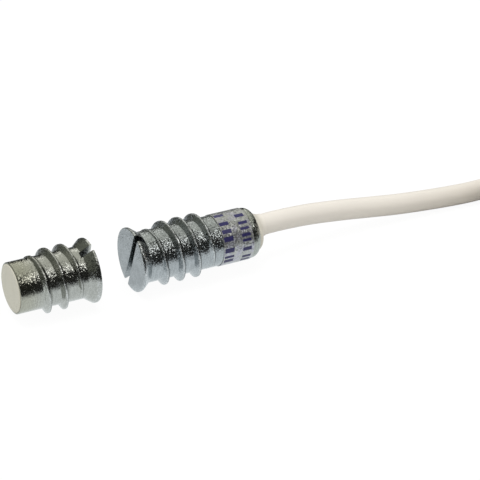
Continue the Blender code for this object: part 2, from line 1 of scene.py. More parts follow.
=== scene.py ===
# Magnetic door contact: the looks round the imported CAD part. Metres, in the CAD's own frame:
# the common axis runs along X, the switch unit and its cable are on the +X side.
import math

import bmesh
import bpy
from mathutils import Matrix, Vector


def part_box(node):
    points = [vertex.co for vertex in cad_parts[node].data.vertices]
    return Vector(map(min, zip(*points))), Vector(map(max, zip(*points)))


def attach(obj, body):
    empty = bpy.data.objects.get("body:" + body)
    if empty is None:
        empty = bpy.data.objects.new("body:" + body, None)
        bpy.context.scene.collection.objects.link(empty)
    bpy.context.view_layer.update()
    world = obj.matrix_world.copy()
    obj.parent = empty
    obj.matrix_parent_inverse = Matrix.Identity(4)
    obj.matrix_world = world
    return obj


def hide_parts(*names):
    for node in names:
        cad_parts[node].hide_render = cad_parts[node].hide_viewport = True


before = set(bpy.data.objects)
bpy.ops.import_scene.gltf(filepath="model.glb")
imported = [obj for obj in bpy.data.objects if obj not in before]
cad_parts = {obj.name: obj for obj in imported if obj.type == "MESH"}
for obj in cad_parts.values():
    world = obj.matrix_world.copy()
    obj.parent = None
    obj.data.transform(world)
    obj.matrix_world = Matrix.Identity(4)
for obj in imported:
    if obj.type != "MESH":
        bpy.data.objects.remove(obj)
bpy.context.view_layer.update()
mm = 0.001
tiny = 1e-7  # a length that counts as none
weld = 1e-6  # corners closer than this become one

# where the CAD puts the two units; each has its front face at z = 0 in its own axes
switchLow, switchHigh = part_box("switch_housing")
switchFace = switchLow.x
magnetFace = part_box("magnet_housing")[1].x
axisHeight = (switchLow.z + switchHigh.z) / 2
switchPlace, magnetPlace = (
    Matrix.Translation((face, 0, axisHeight)) @ Matrix.Rotation(turn, 4, "Y")
    for face, turn in ((switchFace, math.pi / 2), (magnetFace, -math.pi / 2))
)


def rgb(red, green, blue):
    # a colour as a picture editor shows it, 0 to 255, as the linear values of a shader
    return (*[((c / 255 + 0.055) / 1.055) ** 2.4 for c in (red, green, blue)], 1)


class Wire:
    # One output of a material's node. Arithmetic on wires adds Math nodes.
    def __init__(self, paint, socket):
        self.paint = paint
        self.socket = socket

    def maths(self, operation, *terms):
        values = dict(enumerate(terms))
        return self.paint.add("ShaderNodeMath", {"operation": operation}, values)

    def __add__(self, other):
        return self.maths("ADD", self, other)

    def __radd__(self, other):
        return self.maths("ADD", other, self)

    def __sub__(self, other):
        return self.maths("SUBTRACT", self, other)

    def __rsub__(self, other):
        return self.maths("SUBTRACT", other, self)

    def __mul__(self, other):
        return self.maths("MULTIPLY", self, other)

    def __rmul__(self, other):
        return self.maths("MULTIPLY", other, self)

    def __truediv__(self, other):
        return self.maths("DIVIDE", self, other)

    def __rtruediv__(self, other):
        return self.maths("DIVIDE", other, self)

    def __pow__(self, other):
        return self.maths("POWER", self, other)

    def __rpow__(self, other):
        return self.maths("POWER", other, self)


class Paint:
    # A node tree with one shader in it, a material's or the world's.
    def __init__(self, name, owner=None):
        self.owner = owner or bpy.data.materials.new(name)
        self.owner.use_nodes = True
        self.tree = self.owner.node_tree
        self.shader = self.tree.nodes.get("Principled BSDF")

    def add(self, kind, settings=None, values=None, out=0):
        # settings go in before the sockets; a tuple of outputs gives a list of wires
        node = self.tree.nodes.new(kind)
        for name, value in (settings or {}).items():
            setattr(node, name, value)
        for name, value in (values or {}).items():
            self.put(node.inputs[name], value)
        if isinstance(out, tuple):
            return [Wire(self, node.outputs[name]) for name in out]
        return Wire(self, node.outputs[out])

    def put(self, socket, value):
        if isinstance(value, Wire):
            self.tree.links.new(value.socket, socket)
        else:
            socket.default_value = value

    def set(self, values):
        for name, value in values.items():
            self.put(self.shader.inputs[name], value)

    def position(self):
        return self.add("ShaderNodeTexCoord", out=3)

    def mark(self, name):
        # a value that the mesh carries at its vertices
        return self.add("ShaderNodeAttribute", {"attribute_name": name}, out=2)

    def parts(self, vector):
        return self.add("ShaderNodeSeparateXYZ", {}, {0: vector}, out=(0, 1, 2))

    def vector(self, operation, *terms):
        values = dict(enumerate(terms))
        return self.add("ShaderNodeVectorMath", {"operation": operation}, values)

    def noise(self, size, detail, stretch=None, roughness=0.5):
        # soft noise from 0 to 1 with features of about the given size, in metres
        where = self.position()
        if stretch:
            where = self.add("ShaderNodeMapping", {}, {0: where, 3: stretch})
        values = {"Vector": where, "Scale": 1 / size, "Detail": detail, "Roughness": roughness}
        return self.add("ShaderNodeTexNoise", {}, values)

    def mix(self, mask, low, high):
        # of two colours: low where the mask is 0, high where it is 1
        return self.add(
            "ShaderNodeMix", {"data_type": "RGBA"}, {0: mask, 6: low, 7: high}, out=2
        )

    def step(self, value, start, end):
        # 0 below start, 1 above end
        values = {0: value, 1: start, 2: end, 3: 0.0, 4: 1.0}
        return self.add("ShaderNodeMapRange", {"interpolation_type": "SMOOTHSTEP"}, values)

    def bump(self, height, depth, strength):
        # height from 0 to 1 stands for a relief of the given depth, in metres
        values = {"Strength": strength, "Distance": depth, "Height": height}
        return self.add("ShaderNodeBump", {}, values)

    def grains(self, size, tilt, least=0.35):
        # A normal that leans another way in each small grain, a little in most, far in a few.
        cells = self.add(
            "ShaderNodeTexVoronoi", {}, {"Vector": self.position(), "Scale": 1 / size}, out=1
        )
        lean = self.vector("MULTIPLY_ADD", cells, (2, 2, 2), (-1, -1, -1))
        reach = self.vector("ADD", (least, least, least), self.vector("MULTIPLY", lean, lean))
        bent = self.vector("MULTIPLY", lean, reach)
        bent = self.add("ShaderNodeVectorMath", {"operation": "SCALE"}, {0: bent, 3: tilt})
        normal = self.add("ShaderNodeNewGeometry", out=1)
        return self.vector("NORMALIZE", self.vector("ADD", bent, normal))


def plainPaint(name, look, detail=3, **more):
    # two close colours in soft clouds, which also change the gloss a little
    paint = Paint(name)
    cloud = paint.noise(look["cloud"], detail)
    colour = paint.mix(cloud, rgb(*look["pale"]), rgb(*look["deep"]))
    gloss, spread = look["rough"]
    paint.set({"Base Color": colour, "Roughness": gloss + spread * cloud, **more})
    return paint


def metalPaint(name, look):
    paint = plainPaint(name, look, Metallic=1.0)
    paint.set({"Normal": paint.bump(paint.noise(look["grain"], 3), look["relief"], 0.6)})
    return paint.owner


def cloudyPaint(name, look, pale, deep, thin=None):
    # Plastic or resin: two close colours in soft clouds, and a fine grain in gloss and relief.
    # Thin says from where to where, along x, another colour comes to show through.
    paint = Paint(name)
    cloud = paint.noise(look["cloud"], 3)
    fine = paint.noise(look["grain"], 3)
    colour = paint.mix(cloud, rgb(*pale), rgb(*deep))
    if thin:
        start, end, under = thin
        x, _, _ = paint.parts(paint.position())
        colour = paint.mix(paint.step(x, start, end), colour, rgb(*under))
    smooth, spread = look["rough"]
    share = look["grainShare"]
    paint.set(
        {
            "Base Color": colour,
            "Roughness": smooth + spread * fine,
            "Specular IOR Level": look["shine"],
            "Normal": paint.bump(fine * share + cloud * (1 - share), *look["relief"]),
        }
    )
    return paint.owner


def smoothStep(value):
    value = min(1, max(0, value))
    return value * value * (3 - 2 * value)


def shown(name, data, material, body, replaces=()):
    # puts a finished mesh or curve in the scene, on its CAD body
    obj = bpy.data.objects.new(name, data)
    bpy.context.scene.collection.objects.link(obj)
    data.materials.clear()
    data.materials.append(material)
    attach(obj, body)
    if replaces:
        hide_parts(*replaces)
    return obj


def finished(name, bm, material, body, replaces=(), place=switchPlace, sharp=38):
    # turns a mesh from its own axes to its place, smooth but for edges sharper than an angle
    bmesh.ops.recalc_face_normals(bm, faces=bm.faces)
    bm.transform(place)
    mesh = bpy.data.meshes.new(name)
    bm.to_mesh(mesh)
    bm.free()
    mesh.shade_smooth()
    mesh.set_sharp_from_angle(angle=math.radians(sharp))
    return shown(name, mesh, material, body, replaces)


def tubes(name, lines, radius, sides, material, replaces):
    # one round tube along each line of points, all on the switch unit's body
    curve = bpy.data.curves.new(name, "CURVE")
    curve.dimensions = "3D"
    curve.bevel_depth = radius
    curve.bevel_resolution = sides
    curve.use_fill_caps = True
    for points in lines:
        spline = curve.splines.new("POLY")
        spline.points.add(len(points) - 1)
        for target, point in zip(spline.points, points):
            target.co = (*point, 1)
        spline.use_smooth = True
    return shown(name, curve, material, "switch_unit", replaces)


# where the photograph was taken from, with angles in degrees
camera = {
    "fromFace": (-120.35 * mm, -271.30 * mm, 159.44 * mm),
    "azimuth": -27.15,
    "elevation": 27.76,
    "lens": 165,
    "sensor": 36,
    "nearest": 0.01,
}


def makeCamera():
    data = bpy.data.cameras.new("camera")
    data.lens = camera["lens"]
    data.sensor_width = camera["sensor"]
    data.clip_start = camera["nearest"]
    obj = bpy.data.objects.new("camera", data)
    bpy.context.scene.collection.objects.link(obj)
    obj.location = Vector(camera["fromFace"]) + Vector((switchFace, 0, axisHeight))
    tilt = math.radians(90 - camera["elevation"])
    obj.rotation_euler = (tilt, 0, math.radians(camera["azimuth"]))
    bpy.context.scene.camera = obj
    print("camera placed")


makeCamera()


cable = {
    "radius": 1.7 * mm,
    "length": 1.955,
    "sides": 6,
    "spacing": 1.3 * mm,
    # in mm: from this far behind the switch unit's face, away from the viewer, up from the ground
    "routeFrom": 21.1,
    "route": [
        (-3.3, 0.3, 5.62),
        (-0.6, 0.3, 5.62),
        (1.7, 0.34, 5.62),
        (4.3, 0.62, 5.53),
        (10.1, 1.33, 4.95),
        (16.3, 1.86, 4.05),
        (22.3, 2.08, 3.15),
        (28.4, 2.05, 2.4),
        (35.8, 1.88, 1.87),
        (42.0, 1.7, 1.71),
        (49.0, 1.6, 2.05),
    ],
    "mouth": (0.9, 0.32, 5.62),
    "pale": (233, 227, 217),
    "deep": (225, 219, 209),
    "finish": {
        "cloud": 6 * mm,
        "grain": 0.35 * mm,
        "rough": (0.36, 0.16),
        "shine": 0.4,
        "grainShare": 0.5,
        "relief": (0.02 * mm, 0.35),
    },
}

# the folded rest of the cable, in mm; moves are given in shares of a lap
hank = {
    "start": (55.8, -15.7),
    "straight": 22.0,
    "foldRadius": 10.4,
    "columns": 3,
    "rows": 5,
    "spacing": 3.45,
    "floor": 0.7,
    "firstMove": 0.15,
    "moveOver": 0.26,
    "movesApart": 0.0705,
    "lastClimb": (0.1, 0.19),
    "lastShift": (0.17, 0.21),
    "endHeight": 19.95,
    "endShare": 0.5,
    "pointsPerLap": 72,
}


def onGround(x, y, z):
    return Vector((switchFace + (cable["routeFrom"] + x) * mm, y * mm, z * mm))


def lapPoint(share, radius, height):
    # A point of a lap round the hank: a straight run, the far fold, a run back, the near fold.
    x, y = hank["start"]
    straight = hank["straight"]
    around = 2 * math.pi * (hank["foldRadius"] + hank["spacing"])
    runShare = straight / (2 * straight + around)
    side = 1 if share <= 0.5 else -1
    share = share if share <= 0.5 else share - 0.5
    if share < runShare:
        along, out = straight * (share / runShare - 0.5), radius
    else:
        turn = math.pi * (share - runShare) / (0.5 - runShare)
        along, out = straight / 2 + radius * math.sin(turn), radius * math.cos(turn)
    return x + straight / 2 + side * along, y + side * out, height


def hankSlot(number):
    # the bottom row fills from the outside in, the next one back out, and so on upwards
    row, place = divmod(number, hank["columns"])
    if row % 2 == 0:
        place = hank["columns"] - 1 - place
    height = hank["floor"] + (row + 0.5) * hank["spacing"]
    return hank["foldRadius"] + place * hank["spacing"], height


def hankPoint(laps):
    # Each lap moves over into the next slot. Upper rows do so earlier in the lap, which leaves
    # room for the strands below. The last lap climbs on top of the others.
    columns, rows = hank["columns"], hank["rows"]
    lap = min(int(laps), columns * rows - 1)
    share = laps - lap
    radius, height = hankSlot(lap)
    if lap == columns * rows - 1:
        start, over = hank["lastClimb"]
        height += (hank["endHeight"] - height) * smoothStep((share - start) / over)
        start, over = hank["lastShift"]
        radius += hank["spacing"] * smoothStep((share - start) / over)
        return lapPoint(share, radius, height)
    row, place = divmod(lap, columns)
    stage = 2 * (rows - 1 - row) - (place == columns - 1)
    start = hank["firstMove"] + stage * hank["movesApart"]
    moved = smoothStep((share - start) / hank["moveOver"])
    nextRadius, nextHeight = hankSlot(lap + 1)
    radius += (nextRadius - radius) * moved
    return lapPoint(share, radius, height + (nextHeight - height) * moved)


def through(points, spacing):
    # a smooth line through the points, in steps of about the given length
    ends = [points[0] * 2 - points[1], *points, points[-1] * 2 - points[-2]]
    line = []
    for a, b, c, d in zip(ends, ends[1:], ends[2:], ends[3:]):
        pieces = max(1, round((c - b).length / spacing))
        for i in range(pieces):
            t = i / pieces
            bend = (2 * a - 5 * b + 4 * c - d) * t**2 + (3 * b - a - 3 * c + d) * t**3
            line.append((2 * b + (c - a) * t + bend) / 2)
    return [*line, points[-1]]


def makeCable():
    laps = hank["columns"] * hank["rows"] - 1 + hank["endShare"]
    count = round(laps * hank["pointsPerLap"])
    folded = [hankPoint(laps * i / count) for i in range(count + 1)]
    route = [*cable["route"], *folded]
    line = through([onGround(*point) for point in route], cable["spacing"])
    pvc = cloudyPaint("jacketPvc", cable["finish"], cable["pale"], cable["deep"])
    hides = ["cable", "cable_hank", "cable_end"]
    obj = tubes("cableJacket", [line], cable["radius"], cable["sides"], pvc, hides)
    print("cable laid and folded")
    return obj


jacket = makeCable()


light = {
    "floor": 4.0,
    "paper": (0.62, 0.62, 0.61, 1),
    "paperRough": 0.9,
    "white": (1.07, 1.07, 1.07, 1),
    "whiteShare": 0.88,
    # the lit sheet that metal sees: it reaches further behind the units, and is darker there
    "sheet": (0.9, 0.95, 0.97, 1),
    "sheetBehind": (0.71, 0.75, 0.765, 1),
    "behindFrom": (-1 * mm, 1.5 * mm),
    "behindNearer": 0.7,
    "sheetEnd": (0.012, 0.012, 0.012, 1),
    "sheetReach": 21 * mm,
    "sheetHalf": 25 * mm,
    "sheetFade": 5,
    "world": 0.83,
    "room": (0.02, 0.021, 0.019, 1),
    # what the metal mirrors, as directions; edges are in degrees from a patch's middle
    "patches": [
        {"colour": (0.17, 0.18, 0.15, 1), "middle": (-0.85, 0.45, 0.2), "edges": (62, 50)},
        {"colour": (0.72, 0.73, 0.66, 1), "middle": (0.51, 0.31, 0.8), "edges": (48, 43)},
        {"colour": (0.03, 0.03, 0.028, 1), "middle": (0.95, -0.3, 0.35), "edges": (44, 38)},
        {"colour": (1.6, 1.6, 1.5, 1), "middle": (0.36, 0.8, 0.48), "edges": (9, 6)},
        {"colour": (2.6, 2.6, 2.5, 1), "middle": (0.36, -0.52, 0.78), "edges": (13, 5)},
    ],
    "lampPlace": (-0.05, 0.05, 0.9),
    "lampSize": 0.5,
    "lampPower": 3.3,
}


def makeFloor():
    # White to the camera. Metal sees it as a lit sheet that ends in the dark of the room.
    bm = bmesh.new()
    bmesh.ops.create_grid(bm, x_segments=1, y_segments=1, size=light["floor"] / 2)
    mesh = bpy.data.meshes.new("floor")
    bm.to_mesh(mesh)
    bm.free()
    floor = bpy.data.objects.new("floor", mesh)
    bpy.context.scene.collection.objects.link(floor)
    paint = Paint("floorPaper")
    paint.set({"Base Color": light["paper"], "Roughness": light["paperRough"]})
    rays = ("Is Glossy Ray", "Is Camera Ray", "Is Transmission Ray")
    mirrored, direct, clear = paint.add("ShaderNodeLightPath", out=rays)
    mask = direct * light["whiteShare"] + mirrored + clear
    x, y, _ = paint.parts(paint.add("ShaderNodeNewGeometry", out=0))
    past = (x * x) ** 0.5 - light["sheetHalf"]
    beside = past.maths("MAXIMUM", past, 0.0)
    behind = paint.step(y, *light["behindFrom"])
    far = (beside * beside + y * y * (1 - light["behindNearer"] * behind)) ** 0.5
    lit = 1 / (1 + (far / light["sheetReach"]) ** light["sheetFade"])
    paper = paint.mix(behind, light["sheet"], light["sheetBehind"])
    sheet = paint.mix(lit, light["sheetEnd"], paper)
    colour = paint.mix(mirrored, light["white"], sheet)
    glow = paint.add("ShaderNodeEmission", {}, {"Color": colour, "Strength": 1.0})
    surface = Wire(paint, paint.shader.outputs[0])
    both = paint.add("ShaderNodeMixShader", {}, {0: mask, 1: surface, 2: glow})
    paint.put(paint.tree.nodes["Material Output"].inputs[0], both)
    mesh.materials.append(paint.owner)


def makeWorld():
    # Metal sees a dark room with a few lit patches. All else sees an even pale world.
    world = bpy.data.worlds.new("studio")
    bpy.context.scene.world = world
    paint = Paint("studio", world)
    way = paint.add("ShaderNodeTexCoord", out=0)
    room = light["room"]
    for patch in light["patches"]:
        values = {0: way, 1: Vector(patch["middle"]).normalized()}
        towards = paint.add(
            "ShaderNodeVectorMath", {"operation": "DOT_PRODUCT"}, values, out=1
        )
        edges = [math.cos(math.radians(edge)) for edge in patch["edges"]]
        room = paint.mix(paint.step(towards, *edges), room, patch["colour"])
    rays = ("Is Glossy Ray", "Is Camera Ray")
    mirrored, direct = paint.add("ShaderNodeLightPath", out=rays)
    seen = paint.mix(direct, (*[light["world"]] * 3, 1), (1, 1, 1, 1))
    background = paint.tree.nodes["Background"]
    paint.put(background.inputs["Color"], paint.mix(mirrored, seen, room))
    bpy.context.scene.view_settings.view_transform = "Standard"


def makeLamp():
    # a round lamp above, which the metal doesn't mirror
    lamp = bpy.data.lights.new("overhead", "AREA")
    lamp.shape = "DISK"
    lamp.size = light["lampSize"]
    lamp.energy = light["lampPower"]
    obj = bpy.data.objects.new("overhead", lamp)
    bpy.context.scene.collection.objects.link(obj)
    obj.location = light["lampPlace"]
    obj.rotation_euler = (-Vector(light["lampPlace"])).to_track_quat("-Z", "Y").to_euler()
    obj.visible_glossy = False


makeFloor()
makeWorld()
makeLamp()
print("floor and light placed")


head = {
    "radius": 5.05 * mm,
    "rim": 0.4 * mm,
    "cone": 1.35 * mm,
    "coneSteps": 4,
    "neck": 0.45 * mm,
    "edge": 0.1 * mm,
    "slotEdge": 0.07 * mm,
    "slotCorner": 0.12 * mm,
}

barrel = {
    "radius": 4.0 * mm,
    "bore": 3.2 * mm,
    "boreStart": 2.6 * mm,
    "turnSteps": 192,
    # where the camera sees the upper outline, in degrees up from +Y; crests are placed on it
    "outline": 59.3,
}

# the thread's ridge in section: foot and crest are half its width at the bottom and the top
ridge = {
    "pitch": 2.7 * mm,
    "height": 0.9 * mm,
    "foot": 0.64 * mm,
    "crest": 0.13 * mm,
    "round": 0.07 * mm,
    "shoulder": 0.04 * mm,
    "footSteps": 4,
    "crestSteps": 5,
    "spareTurns": 1.6,
}

# Lengths run from the face. In degrees of turn: turnedIn is how far before its first crest on the
# outline the ridge starts, and runs are how long it takes to rise and to run out.
switchUnit = {
    "name": "switchBarrel",
    "node": "switch_housing",
    "body": "switch_unit",
    "place": switchPlace,
    "face": switchFace,
    "side": 1,
    "length": 20.8 * mm,
    "rearRound": 1.1 * mm,
    "slotTilt": 23,
    "slotWidth": 1.2 * mm,
    "slotDepth": 1.6 * mm,
    "firstCrest": 5.9 * mm,
    "turnedIn": 400,
    "threadEnd": 12.575 * mm,
    "runs": (190, 170),
    "slowStart": 0.8,
    "threadZone": 13.4 * mm,
    "paint": "zincPlateCool",
    "tint": (0.42, 0.445, 0.455),
    "grainSize": 0.095 * mm,
    "grainLean": 0.27,
    # strengths of the painted highlight and the painted shade line along the crests
    "crestPaintedLight": (0.55, 0.85),
    "warmRear": (18.9 * mm, 19.3 * mm),
}

magnetUnit = {
    "name": "magnetBarrel",
    "node": "magnet_housing",
    "body": "magnet_unit",
    "place": magnetPlace,
    "face": magnetFace,
    "side": -1,
    "length": 12.7 * mm,
    "mouthWall": 0.2 * mm,
    "slotTilt": -20.5,
    "slotWidth": 1.05 * mm,
    "slotDepth": 2.0 * mm,
    "firstCrest": 3.9 * mm,
    "turnedIn": 170,
    "threadEnd": 9.525 * mm,
    "runs": (170, 200),
    "slowStart": 0,
    "threadZone": 10.4 * mm,
    "paint": "zincPlateWarm",
    "tint": (0.45, 0.455, 0.425),
    "grainSize": 0.09 * mm,
    "grainLean": 0.18,
    # strengths of the painted highlight and the painted shade line along the crests
    "crestPaintedLight": (0.25, 0.6),
    "warmRear": (8.0 * mm, 12.0 * mm),
}


def arcPoints(alongMiddle, outMiddle, size, start, end, count):
    # (distance along the axis, radius) pairs on an arc; angles run from the axis outwards
    points = []
    for i in range(count + 1):
        angle = math.radians(start + (end - start) * i / count)
        points.append((alongMiddle + size * math.cos(angle), outMiddle + size * math.sin(angle)))
    return points


def spun(bm, profile, steps, capLast=False):
    # turns a profile into rings of vertices and joins them; a radius of 0 becomes one point
    rings = []
    for along, out in profile:
        if out < tiny:
            rings.append([bm.verts.new((0, 0, along))])
            continue
        ring = []
        for i in range(steps):
            angle = 2 * math.pi * i / steps
            ring.append(bm.verts.new((out * math.cos(angle), out * math.sin(angle), along)))
        rings.append(ring)
    for low, high in zip(rings, rings[1:]):
        for i in range(steps):
            j = (i + 1) % steps
            corners = [low[i % len(low)], low[j % len(low)]]
            corners += [high[j % len(high)], high[i % len(high)]]
            bm.faces.new([v for k, v in enumerate(corners) if v not in corners[:k]])
    if capLast:
        bm.faces.new(rings[-1])


def ridgeSection():
    # (offset, rise) pairs over one whole pitch: valley, flank, rounded crest, flank, valley
    foot, crest, height, size = (ridge[k] for k in ("foot", "crest", "height", "round"))
    slope = math.atan2(height, foot - crest)
    bend = size * math.tan(slope / 2)
    flankRun, flankRise = bend * math.cos(slope), bend * math.sin(slope)
    half = [(ridge["pitch"] / 2, 0)]
    for i in range(ridge["footSteps"] + 1):
        angle = slope * i / ridge["footSteps"]
        half.append((foot + bend - size * math.sin(angle), size * (1 - math.cos(angle))))
    low = Vector((foot - flankRun, flankRise))
    high = Vector((crest + flankRun, height - flankRise))
    half += [tuple(low.lerp(high, share)) for share in (0.25, 0.5, 0.75)]
    for i in range(ridge["crestSteps"] + 1):
        angle = slope * (1 - i / ridge["crestSteps"])
        rise = height - size * (1 - math.cos(angle))
        half.append((crest - bend + size * math.sin(angle), rise))
    left = [(-along, rise) for along, rise in half]
    return [*left, (0, height), *half[::-1]]


def threadedZone(bm, unit, start, end):
    # The barrel's outside from start to end along the axis, with the thread on it. It is one
    # strip, a pitch wide, wound round the barrel so that its lines follow the thread. The two
    # shoulders of the crest are marked for the paint: a painted highlight line on the one towards
    # the camera, a painted shade line on the one away from it.
    steps, side, slow = barrel["turnSteps"], unit["side"], unit["slowStart"]
    crestAngle = math.pi / 2 + math.radians(barrel["outline"]) * side
    firstAngle = crestAngle - math.radians(unit["turnedIn"])
    rise = ridge["pitch"] / (2 * math.pi)
    lastAngle = crestAngle + (unit["threadEnd"] - unit["firstCrest"]) / rise
    runIn, runOut = (math.radians(r) for r in unit["runs"])
    section = ridgeSection()
    highlightShoulder, shadeShoulder = (bm.verts.layers.float.new(name) for name in ("crestHighlight", "crestShade"))
    low, high = (
        ((along - unit["firstCrest"]) / rise + crestAngle) / (2 * math.pi) for along in (start, end)
    )
    firstStep = math.floor(low - ridge["spareTurns"]) * steps
    lastStep = math.ceil(high + ridge["spareTurns"]) * steps
    before = None
    for i in range(firstStep, lastStep + 1):
        angle = 2 * math.pi * i / steps
        fadeIn = min(1, max(0, (angle - firstAngle) / runIn))
        fadeOut = min(1, max(0, (lastAngle - angle) / runOut))
        quick = math.sin(min(1, fadeIn * (1 + 3 * slow)) * math.pi / 2)
        fadeIn = (1 - slow) * quick + slow * fadeIn**3
        fade = min(fadeIn, math.sin(fadeOut * math.pi / 2))
        ring = []
        for offset, height in section:
            along = unit["firstCrest"] + rise * (angle - crestAngle) + offset
            out = max(0, height - ridge["height"] * (1 - fade))
            if offset < 0 and fadeOut < 1:
                out = height * fade  # it runs out flatter on the side towards the head
            if not start < along < end:
                along = min(max(along, start), end)
                out = 0
            onCrest = height > ridge["height"] - ridge["shoulder"] and offset != 0 and out > 0
            out += barrel["radius"]
            vert = bm.verts.new((out * math.cos(angle), out * math.sin(angle), along))
            # the shoulder towards the camera carries a painted highlight, the other a painted shade
            # line
            vert[highlightShoulder if offset * side < 0 else shadeShoulder] = float(onCrest)
            ring.append(vert)
        if before:
            for k in range(len(section) - 1):
                bm.faces.new((before[k], ring[k], ring[k + 1], before[k + 1]))
        before = ring


def solidObject(name, bm):
    # a plain helper object for a cut
    bmesh.ops.recalc_face_normals(bm, faces=bm.faces)
    mesh = bpy.data.meshes.new(name)
    bm.to_mesh(mesh)
    bm.free()
    obj = bpy.data.objects.new(name, mesh)
    bpy.context.scene.collection.objects.link(obj)
    return obj


def slotCutter(unit):
    # a long bar whose top flares, which rounds the slot's edges, and whose floor has soft corners
    half, edge, corner = unit["slotWidth"] / 2, head["slotEdge"], head["slotCorner"]
    outline = [(half + edge, -0.5 * mm)]
    for angle in map(math.radians, (15, 35, 60, 90)):
        outline.append((half + edge - edge * math.sin(angle), edge * (1 - math.cos(angle))))
    for angle in map(math.radians, (0, 30, 60, 90)):
        out = half - corner * (1 - math.cos(angle))
        outline.append((out, unit["slotDepth"] - corner * (1 - math.sin(angle))))
    outline += [(-y, z) for y, z in outline[::-1]]
    bm = bmesh.new()
    ends = []
    for x in (-1.5 * head["radius"], 1.5 * head["radius"]):
        ends.append([bm.verts.new((x, y, z)) for y, z in outline])
    for i in range(len(outline)):
        bm.faces.new((ends[0][i - 1], ends[0][i], ends[1][i], ends[1][i - 1]))
    bm.faces.new(ends[0][::-1])
    bm.faces.new(ends[1])
    turn = Matrix.Rotation(math.radians(unit["slotTilt"]), 3, "Z")
    bmesh.ops.rotate(bm, matrix=turn, verts=bm.verts)
    return solidObject("slotCutter", bm)


def headMesh(unit):
    # the head as a closed solid, with the driver slot cut across it
    radius, rim, cone, edge = (head[k] for k in ("radius", "rim", "cone", "edge"))
    narrowing = radius - barrel["radius"]
    slope = math.degrees(math.atan2(narrowing, cone))
    profile = [(0, 0), (0, radius / 2), (0, radius - 3 * edge)]
    profile += arcPoints(edge, radius - edge, edge, 180, 90, 4)
    profile += arcPoints(rim - edge / 2, radius - edge / 2, edge / 2, 90, 90 - slope, 3)
    for k in range(1, head["coneSteps"] + 1):
        share = k / head["coneSteps"]
        profile.append((rim + cone * share, radius - narrowing * share))
    profile.append((rim + cone + head["neck"], barrel["radius"]))
    bm = bmesh.new()
    spun(bm, profile, barrel["turnSteps"], capLast=True)
    solid = solidObject("headSolid", bm)
    cutter = slotCutter(unit)
    boolean = solid.modifiers.new("slot", "BOOLEAN")
    boolean.object = cutter
    boolean.solver = "EXACT"
    graph = bpy.context.evaluated_depsgraph_get()
    cut = bpy.data.meshes.new_from_object(solid.evaluated_get(graph))
    bpy.data.objects.remove(solid)
    bpy.data.objects.remove(cutter)
    return cut


def makeHousing(unit, rear):
    # head, threaded zone and rear end joined into one closed skin
    depth = head["rim"] + head["cone"] + head["neck"]
    bm = bmesh.new()
    bm.from_mesh(headMesh(unit))
    cap = [f for f in bm.faces if all(abs(v.co.z - depth) < tiny for v in f.verts)]
    bmesh.ops.delete(bm, geom=cap, context="FACES")
    threadedZone(bm, unit, depth, unit["threadZone"])
    profile = [(unit["threadZone"], barrel["radius"]), *rear]
    profile += [(barrel["boreStart"], barrel["bore"]), (barrel["boreStart"], 0)]
    spun(bm, profile, barrel["turnSteps"])
    bmesh.ops.remove_doubles(bm, verts=bm.verts, dist=weld)
    bmesh.ops.dissolve_degenerate(bm, edges=bm.edges, dist=tiny)
    paint = zincPaint(unit)
    place, body, hides = unit["place"], unit["body"], [unit["node"]]
    obj = finished(unit["name"], bm, paint, body, hides, place, sharp=30)
    weighted = obj.modifiers.new("flatter", "WEIGHTED_NORMAL")
    weighted.keep_sharp = True


zinc = {
    "fleck": 0.17 * mm,
    "fleckEdges": (0.4, 0.62),
    "cloud": 2.4 * mm,
    # shares of a unit's own tint: dull and fair in the clouds, bright flecks, dark streaks
    "shades": (0.84, 0.96, 1.14, 0.72),
    "gloss": (0.1, 0.1),
    # bright on the crests, so far out from the barrel: partly wear where they rub, partly a painted
    # highlight
    "crestWearAndHighlight": (0.72, 0.73, 0.73, 1),
    "wearAndHighlightOut": (0.72 * mm, 0.9 * mm),
    "wearAndHighlightShare": 0.6,
    # the grains lean less below these heights over the axis
    "calm": 0.4,
    "calmBelow": (0.5 * mm, 1.7 * mm),
    # painted shade in the driver slot: from the face in, past its floor, past its sides, and up
    "slotShade": (0.03, 0.035, 0.035, 1),
    "slotShadeShare": 0.85,
    "slotShadeDepth": (0.05 * mm, 0.6 * mm),
    "shadePastFloor": 0.1 * mm,
    "shadePastSides": (0.01 * mm, 0.04 * mm),
    "slotShadeHeight": (-3.4 * mm, 0.2 * mm),
    # thin lines along the crest: a painted highlight, broken, and a painted shade line
    "paintedLineEdges": (0.2, 0.8),
    "highlightBreaks": (0.42, 0.6),
    "paintedHighlight": (0.78, 0.79, 0.78, 1),
    "paintedCrestShade": (0.03, 0.033, 0.03, 1),
    "highlightMatt": 0.6,
    # streaks round the low half
    "streak": 0.13 * mm,
    "streakStretch": (1, 0.06, 0.06),
    "streakEdges": (0.42, 0.62),
    "streakHeight": (-0.6 * mm, 1.2 * mm),
    "streakShare": 0.45,
    "warmth": (0.95, 0.93, 0.84, 1),
}


def slotShadeMask(paint, unit, x, y, z):
    # painted shade: 1 on the slot's walls and floor, 0 outside it; distances are compared by their
    # squares
    tilt, half = math.radians(unit["slotTilt"]), unit["slotWidth"] / 2
    across = (math.cos(tilt) * y + unit["side"] * math.sin(tilt) * z) ** 2
    deep = (x - unit["face"]) ** 2
    floor = (unit["slotDepth"], unit["slotDepth"] + zinc["shadePastFloor"])
    inside = paint.step(deep, *[d**2 for d in zinc["slotShadeDepth"]])
    above = 1 - paint.step(deep, *[d**2 for d in floor])
    between = 1 - paint.step(across, *[(half + d) ** 2 for d in zinc["shadePastSides"]])
    return inside * above * between * paint.step(z, *zinc["slotShadeHeight"])


